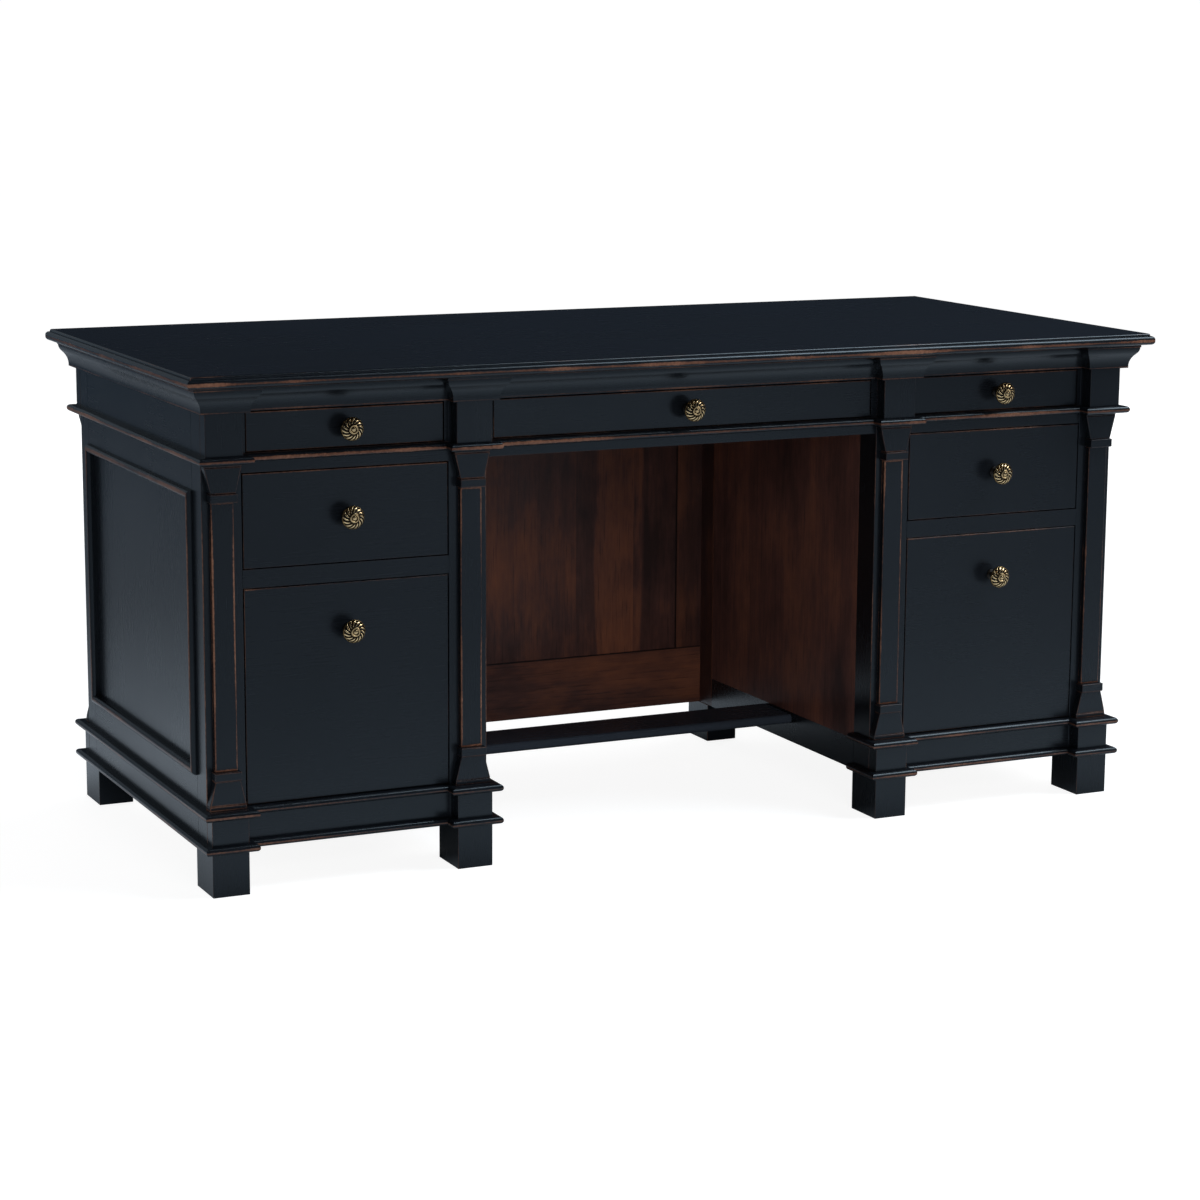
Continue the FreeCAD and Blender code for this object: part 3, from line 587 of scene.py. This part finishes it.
knob = {
    "petals": 14,
    "swirl": 0.45,            # how far a petal leans round the face, in radians, from its root to its tip
    "leanPower": 1.3,
    "petalFoot": (0.44, 0.50),  # where a petal starts and how long it is, in shares of the radius
    "grooveDepth": 2.6 * mm,  # how deep the gaps between petals go
    # how high the folded cosine is where a petal starts, what its root and its tip add to that, and how fast
    "gap": (0.36, 0.45, 0.25), "gapPowers": (3, 6),
    "slope": 0.42,            # how much higher it is where the petal is full
    "crest": 0.25,            # how much of a petal's height follows the cosine to its ridge
    "ends": 9.0,              # how steeply the petals rise from the rim and the moat
    "around": 336,            # points round the knob
    "turned": 0.73,           # how much further each knob is turned than the one before, in radians
    "dark": (0.010, 0.0062, 0.0028),
    "brass": (0.25, 0.152, 0.058),
    "bright": (0.62, 0.455, 0.245),
    "roughness": 0.22,
    "blotchScale": 420.0, "fineScale": 2600.0, "bump": (0.05 * mm, 0.5),
    "level": (0.9, 0.30),     # what the relief and the blotches add to the brightness
    "stops": (0.16, 0.48, 0.88),
    "hollow": (0.20, 0.14),   # how much rougher it is in the hollows and in the blotches
}

# the turned section as (part, shine, points, rings); points are (radius, height off the drawer)
# in shares of the knob's radius and its whole height
knobSection = [
    ("back", 0.10, [(0.0, 0.0), (0.30, 0.0), (0.46, 0.0)], 4),
    ("base", 0.16, [(0.46, 0.0), (0.49, 0.025), (0.47, 0.06), (0.36, 0.09)], 10),
    ("neck", 0.12, [(0.36, 0.09), (0.29, 0.16), (0.27, 0.32), (0.31, 0.46)], 12),
    ("bell", 0.18, [(0.31, 0.46), (0.46, 0.58), (0.72, 0.65), (0.95, 0.69)], 14),
    ("rim", 0.60, [(0.95, 0.69), (0.99, 0.71), (1.0, 0.745), (0.99, 0.78), (0.955, 0.81)], 16),
    ("petals", 0.0, [(0.955, 0.81), (0.86, 0.866), (0.72, 0.914), (0.57, 0.943), (0.44, 0.95)], 46),
    ("moat", 0.06, [(0.44, 0.95), (0.432, 0.925), (0.42, 0.925)], 6),
    ("boss", 0.80, [(0.42, 0.925), (0.405, 0.965), (0.35, 0.985), (0.28, 0.98), (0.245, 0.96)], 16),
    ("hollow", 0.15, [(0.245, 0.96), (0.225, 0.945), (0.20, 0.945)], 6),
    ("button", 0.85, [(0.20, 0.945), (0.18, 0.975), (0.12, 0.99), (0.05, 0.997), (0.0, 0.997)], 14),
]


def smoothRun(points, count):
    # a curve through the points: each coordinate is a cubic in the length along the chords, in even steps
    points = np.array(points)
    steps = np.r_[0.0, np.cumsum(np.linalg.norm(np.diff(points, axis=0), axis=1))]
    at = np.linspace(0.0, steps[-1], count)
    slopes = np.gradient(points, steps, axis=0)
    index = np.clip(np.searchsorted(steps, at, side="right") - 1, 0, len(steps) - 2)
    width = (steps[index + 1] - steps[index])[:, None]
    share = (at - steps[index])[:, None] / width
    square, cube = share**2, share**3
    places = (2 * cube - 3 * square + 1) * points[index] + (3 * square - 2 * cube) * points[index + 1]
    bends = (cube - 2 * square + share) * slopes[index] + (cube - square) * slopes[index + 1]
    return places + width * bends


def knobRings():
    # the section as rings from the back to the front: place, shine, and how far along a petal each one is
    rings, shine, along = [], [], []
    for part, partShine, points, count in knobSection:
        rings.append(smoothRun(points, count)[:-1])
        shine.append(np.full(count - 1, partShine))
        along.append(np.linspace(0.0, 1.0, count)[:-1] if part == "petals" else np.full(count - 1, -1.0))
    rings, shine, along = (np.concatenate(parts)[1:] for parts in (rings, shine, along))
    return rings, shine, along            # the first point of all, the pole at the back, is left out


def knobSurface(centre, radius, wholeHeight, startAngle):
    # rings of the section turned round the knob's axis; over the petals the dome keeps its height where a
    # folded cosine round the face, leaning with the radius, is high, and drops in the gaps, which widen
    # towards the roots
    rings, shine, along = knobRings()
    turn = np.linspace(0.0, 2 * np.pi, knob["around"], endpoint=False)
    root, length = knob["petalFoot"]
    outward = np.clip((rings[:, 0] - root) / length, 0.0, 1.0)
    lean = startAngle + knob["swirl"] * outward ** knob["leanPower"]
    crest = np.abs(np.cos(knob["petals"] / 2 * (turn[None, :] + lean[:, None])))
    inward = np.clip(along[:, None], 0.0, 1.0)
    leastGap, rootGap, tipGap = knob["gap"]
    rootPower, tipPower = knob["gapPowers"]
    gap = leastGap + rootGap * inward ** rootPower + tipGap * (1 - inward) ** tipPower
    rise = np.clip((crest - gap) / knob["slope"], 0.0, 1.0)
    petal = rise * rise * (3 - 2 * rise) * (1 - knob["crest"] + knob["crest"] * crest)
    onPetals = along[:, None] >= 0
    edge = np.clip(np.minimum(along, 1 - along)[:, None] * knob["ends"], 0.0, 1.0)
    reach = rings[:, :1] * radius * np.ones_like(crest)
    groove = np.where(onPetals, knob["grooveDepth"] * edge * (1.0 - petal), 0.0)
    height = rings[:, 1:] * wholeHeight - groove
    x = centre[0] + reach * np.cos(turn)
    z = centre[2] + reach * np.sin(turn)
    verts = np.stack([x, centre[1] - height, z], axis=-1).reshape(-1, 3)
    frontHeight = knobSection[-1][2][-1][1] * wholeHeight
    frontPole = (centre[0], centre[1] - frontHeight, centre[2])
    shineOf = {part: partShine for part, partShine, points, count in knobSection}
    endShine = np.where(inward < 0.5, shineOf["rim"], shineOf["moat"])
    relief = np.where(onPetals, petal * edge + endShine * (1 - edge), shine[:, None] * np.ones_like(crest))
    field = np.r_[relief.reshape(-1), shineOf["back"], shineOf["button"]]
    return np.vstack([verts, centre, frontPole]), field, len(rings)


def knobMesh(name, verts, field, ringCount):
    around = knob["around"]
    first = np.arange(ringCount * around).reshape(ringCount, around)
    following = np.roll(first, -1, axis=1)
    quads = np.stack([first[:-1], following[:-1], following[1:], first[1:]], axis=-1).reshape(-1, 4)
    back, front = ringCount * around, ringCount * around + 1
    backFan = np.stack([np.full(around, back), following[0], first[0]], axis=-1)
    frontFan = np.stack([np.full(around, front), first[-1], following[-1]], axis=-1)
    mesh = bpy.data.meshes.new(name)
    mesh.from_pydata(verts, [], quads.tolist() + backFan.tolist() + frontFan.tolist())
    relief = mesh.attributes.new("relief", "FLOAT", "POINT")
    relief.data.foreach_set("value", field.astype(np.float32))
    mesh.polygons.foreach_set("use_smooth", np.ones(len(mesh.polygons), bool))
    mesh.update()
    return mesh


def brassMaterial():
    # aged brass: rubbed bright on the high parts, brown-black in the hollows
    recipe = Recipe("agedBrass")
    relief = recipe.node("ShaderNodeAttribute", {"attribute_name": "relief"}, {}, "Fac")
    blotch = recipe.noise(knob["blotchScale"], 3.0, None, 0.6)
    fine = recipe.noise(knob["fineScale"], 2.0)
    reliefShare, blotchShare = knob["level"]
    level = relief * reliefShare + (blotch - 0.5) * blotchShare
    stops = [(stop, knob[name]) for stop, name in zip(knob["stops"], ("dark", "brass", "bright"))]
    hollowRough, blotchRough = knob["hollow"]
    rougher = hollowRough * (1.0 - relief.ramp(0.2, 0.8)) + blotchRough * (blotch - 0.5)
    recipe.finish(Base_Color=recipe.colours(level, stops), Metallic=0.4 + 0.6 * relief.ramp(0.1, 0.5),
                  Roughness=knob["roughness"] + rougher,
                  Normal=recipe.bump(fine * 0.5 + blotch * 0.5, *knob["bump"]))
    return recipe.material


def makeKnobs():
    brass = brassMaterial()
    knobNodes = [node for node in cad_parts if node.endswith("_drawer_knob")]
    for index, node in enumerate(knobNodes):
        low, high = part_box(node)
        centre = ((low[0] + high[0]) / 2, high[1], (low[2] + high[2]) / 2)
        radius = (high[0] - low[0]) / 2
        verts, field, ringCount = knobSurface(centre, radius, high[1] - low[1], index * knob["turned"])
        mesh = knobMesh(node + "Rosette", verts, field, ringCount)
        mesh.materials.append(brass)
        rosette = bpy.data.objects.new(node + "Rosette", mesh)
        bpy.context.scene.collection.objects.link(rosette)
        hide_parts(node)
        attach(rosette, node.replace("_knob", ""))
        dress(node, brass)


makeKnobs()
print("knobs done")


# floor, light and camera

stage = {
    "floorRings": (2.0, 8.0, 25.0), "flatRadius": 60.0, "wallRadius": 4.0, "wallHeight": 4.0,
    "sweepSteps": 12, "around": 96,
    "shade": (0.32, 0.32, 0.32),          # the floor's own grey, which takes the shadow
    # the glow that the camera sees, near the desk and far from it, and where it rises from one to the other
    "nearGlow": 0.90, "farGlow": 1.0, "nearEnds": 1.2, "farStarts": 4.5,
    # the cool glow that gloss alone sees on the floor, a painted reflection added to its own grey: dark
    # under the desk as a painted shadow, bright beside it and dimmer further off, each at its share of the
    # way from mirrorStarts to mirrorEnds, in metres outside the desk's box
    "mirrored": [
        (0.0, (0.01, 0.015, 0.02)), (0.05, (0.60, 0.70, 0.81)), (0.13, (0.25, 0.315, 0.385)),
        (0.32, (0.032, 0.060, 0.095)), (0.62, (0.022, 0.056, 0.100)), (1.0, (0.012, 0.036, 0.068)),
    ],
    "mirrorStarts": -0.12, "mirrorEnds": 4.9,
    # in gloss the floor ahead, behind and on the right glows a little brighter than on the left, a painted
    # reflection:
    # how far out of the desk's box that starts, where it fades in ahead, to the left and far behind, and how
    # much it adds
    "litStarts": (0.05, 0.33), "litAhead": (0.0, 0.1), "litLeft": (-0.70, -0.30), "litFar": (4.0, 7.0),
    "lit": (0.226, 0.248, 0.276),
    # and a brighter patch of glow, a painted reflection seen only in gloss, lies ahead on the right: its
    # soft edges across and ahead, and how much it adds
    "patchAcross": (1.20, 1.45, 2.30, 2.60), "patchAhead": (3.00, 3.50, 8.00, 9.00),
    "patch": (1.25, 1.40, 1.60),
    "room": (0.022, 0.028, 0.039),
}
black = (0.0, 0.0, 0.0)
white = (1.0, 1.0, 1.0)
softBoxes = {
    # name: (place, target, width, height, watts, spread in degrees, colour, mirrored in gloss)
    "key": ((-1.0, -5.0, 1.6), (0.0, 0.0, 0.4), 2.6, 2.6, 76.0, 180, white, False),
    "window": ((4.2, -1.9, 3.0), (0.2, -0.2, 0.5), 2.0, 2.0, 78.0, 180, white, True),
    "over": ((2.2, -1.2, 3.6), (0.6, -0.3, 0.5), 2.0, 2.0, 17.0, 60, (0.78, 0.90, 1.0), True),
    "side": ((-4.2, 0.6, 2.0), (-0.6, 0.0, 0.5), 2.0, 2.0, 36.0, 180, white, False),
    "back": ((4.4, 3.4, 2.0), (0.0, 0.2, 0.4), 2.4, 2.4, 90.0, 180, white, False),
    "rear": ((0.6, 5.0, 1.8), (0.0, 0.0, 0.4), 2.6, 2.6, 70.0, 180, white, False),
    "behind": ((-2.0, 3.7, 1.45), (-0.8, 0.0, 0.5), 3.4, 2.2, 5.5, 180, (0.72, 0.87, 1.0), True),
}
photo = {
    "place": (-2.0874, -4.4183, 1.2533),
    "yaw": 25.29, "pitch": -10.77, "roll": 0.33,      # degrees
    "focalPixels": 3055.8, "framePixels": 1200.0, "sensor": 36.0,
}


def floorMesh():
    # a flat disc whose edge sweeps up in a quarter circle, so no horizon shows
    sweep = np.linspace(0.0, np.pi / 2, stage["sweepSteps"])
    flatRings = np.array(stage["floorRings"])
    radii = np.r_[flatRings, stage["flatRadius"] + stage["wallRadius"] * np.sin(sweep)]
    heights = np.r_[0.0 * flatRings, stage["wallHeight"] * (1 - np.cos(sweep))]
    around = stage["around"]
    turn = np.linspace(0.0, 2 * np.pi, around, endpoint=False)
    rim = np.stack([radii[:, None] * np.cos(turn), radii[:, None] * np.sin(turn),
                    np.repeat(heights[:, None], around, axis=1)], axis=-1).reshape(-1, 3)
    first = np.arange(len(radii) * around).reshape(len(radii), around)
    following = np.roll(first, -1, axis=1)
    quads = np.stack([first[:-1], first[1:], following[1:], following[:-1]], axis=-1).reshape(-1, 4)
    fan = np.stack([np.full(around, len(rim)), first[0], following[0]], axis=-1)
    mesh = bpy.data.meshes.new("floor")
    mesh.from_pydata(np.vstack([rim, (0.0, 0.0, 0.0)]), [], quads.tolist() + fan.tolist())
    return mesh


def softBand(place, edges):
    return place.ramp(*edges[:2]) * (1.0 - place.ramp(*edges[2:]))


def makeFloor():
    mesh = floorMesh()
    floor = bpy.data.objects.new("floor", mesh)
    bpy.context.scene.collection.objects.link(floor)
    recipe = Recipe("studioFloor")
    seen = recipe.lightPath("Is Camera Ray").most(recipe.lightPath("Is Transmission Ray"))
    away = recipe.node("ShaderNodeVectorMath", {"operation": "LENGTH"}, {0: recipe.place}, "Value")
    rise = (stage["farGlow"] - stage["nearGlow"]) * away.ramp(stage["nearEnds"], stage["farStarts"])
    ahead = 0.0 - recipe.y
    outside = (abs(recipe.x) - cadBox[1][0]).most(abs(recipe.y) - cadBox[1][1])
    start, end = stage["mirrorStarts"], stage["mirrorEnds"]
    # the glow that only gloss sees, a painted reflection, dark under the desk as a painted shadow
    mirrored = recipe.colours((outside - start) / (end - start), stage["mirrored"])
    litBehind = recipe.x.ramp(*stage["litLeft"]) * (1.0 - recipe.y.ramp(*stage["litFar"]))
    lit = ahead.ramp(*stage["litAhead"]).most(litBehind) * outside.ramp(*stage["litStarts"])
    # a brighter patch of glow ahead on the right, a painted reflection that only gloss sees
    patch = softBand(recipe.x, stage["patchAcross"]) * softBand(ahead, stage["patchAhead"])
    for share, colour in ((lit, stage["lit"]), (patch, stage["patch"])):
        extra = recipe.mix(share, opaque(black), opaque(colour))
        inputs = {0: mirrored, 1: extra}
        mirrored = recipe.node("ShaderNodeVectorMath", {"operation": "ADD"}, inputs, "Vector")
    glow = recipe.mix(recipe.lightPath("Is Glossy Ray"), seen * (stage["nearGlow"] + rise), mirrored)
    recipe.finish(Base_Color=opaque(stage["shade"]), Roughness=1.0, Specular_IOR_Level=0.0,
                  Emission_Color=glow, Emission_Strength=1.0)
    mesh.materials.append(recipe.material)


def makeWorld():
    world = bpy.data.worlds.new("studio")
    bpy.context.scene.world = world
    world.use_nodes = True
    background = next(n for n in world.node_tree.nodes if n.type == "BACKGROUND")
    background.inputs["Color"].default_value = opaque(stage["room"])
    background.inputs["Strength"].default_value = 1.0


def makeLights():
    for name, (place, target, width, height, watts, spread, colour, mirrored) in softBoxes.items():
        lamp = bpy.data.lights.new(name, "AREA")
        lamp.shape = "RECTANGLE"
        lamp.size = width
        lamp.size_y = height
        lamp.energy = watts
        lamp.spread = math.radians(spread)
        lamp.color = colour
        holder = bpy.data.objects.new(name, lamp)
        holder.location = place
        holder.rotation_euler = (Vector(target) - Vector(place)).to_track_quat("-Z", "Y").to_euler()
        holder.visible_camera = False
        holder.visible_glossy = mirrored
        bpy.context.scene.collection.objects.link(holder)


def makeCamera():
    yaw, pitch, roll = (math.radians(photo[key]) for key in ("yaw", "pitch", "roll"))
    ahead = Vector((math.sin(yaw) * math.cos(pitch), math.cos(yaw) * math.cos(pitch), math.sin(pitch)))
    level = Vector((math.cos(yaw), -math.sin(yaw), 0.0))
    upright = level.cross(ahead)
    right = level * math.cos(roll) + upright * math.sin(roll)
    up = upright * math.cos(roll) - level * math.sin(roll)
    camera = bpy.data.cameras.new("camera")
    camera.sensor_width = photo["sensor"]
    camera.lens = photo["focalPixels"] / photo["framePixels"] * photo["sensor"]
    holder = bpy.data.objects.new("camera", camera)
    turned = Matrix((right, up, -ahead)).transposed().to_4x4()
    holder.matrix_world = Matrix.Translation(photo["place"]) @ turned
    bpy.context.scene.collection.objects.link(holder)
    bpy.context.scene.camera = holder


makeFloor()
makeWorld()
makeLights()
makeCamera()
bpy.context.scene.view_settings.view_transform = "Standard"
print("stage done")
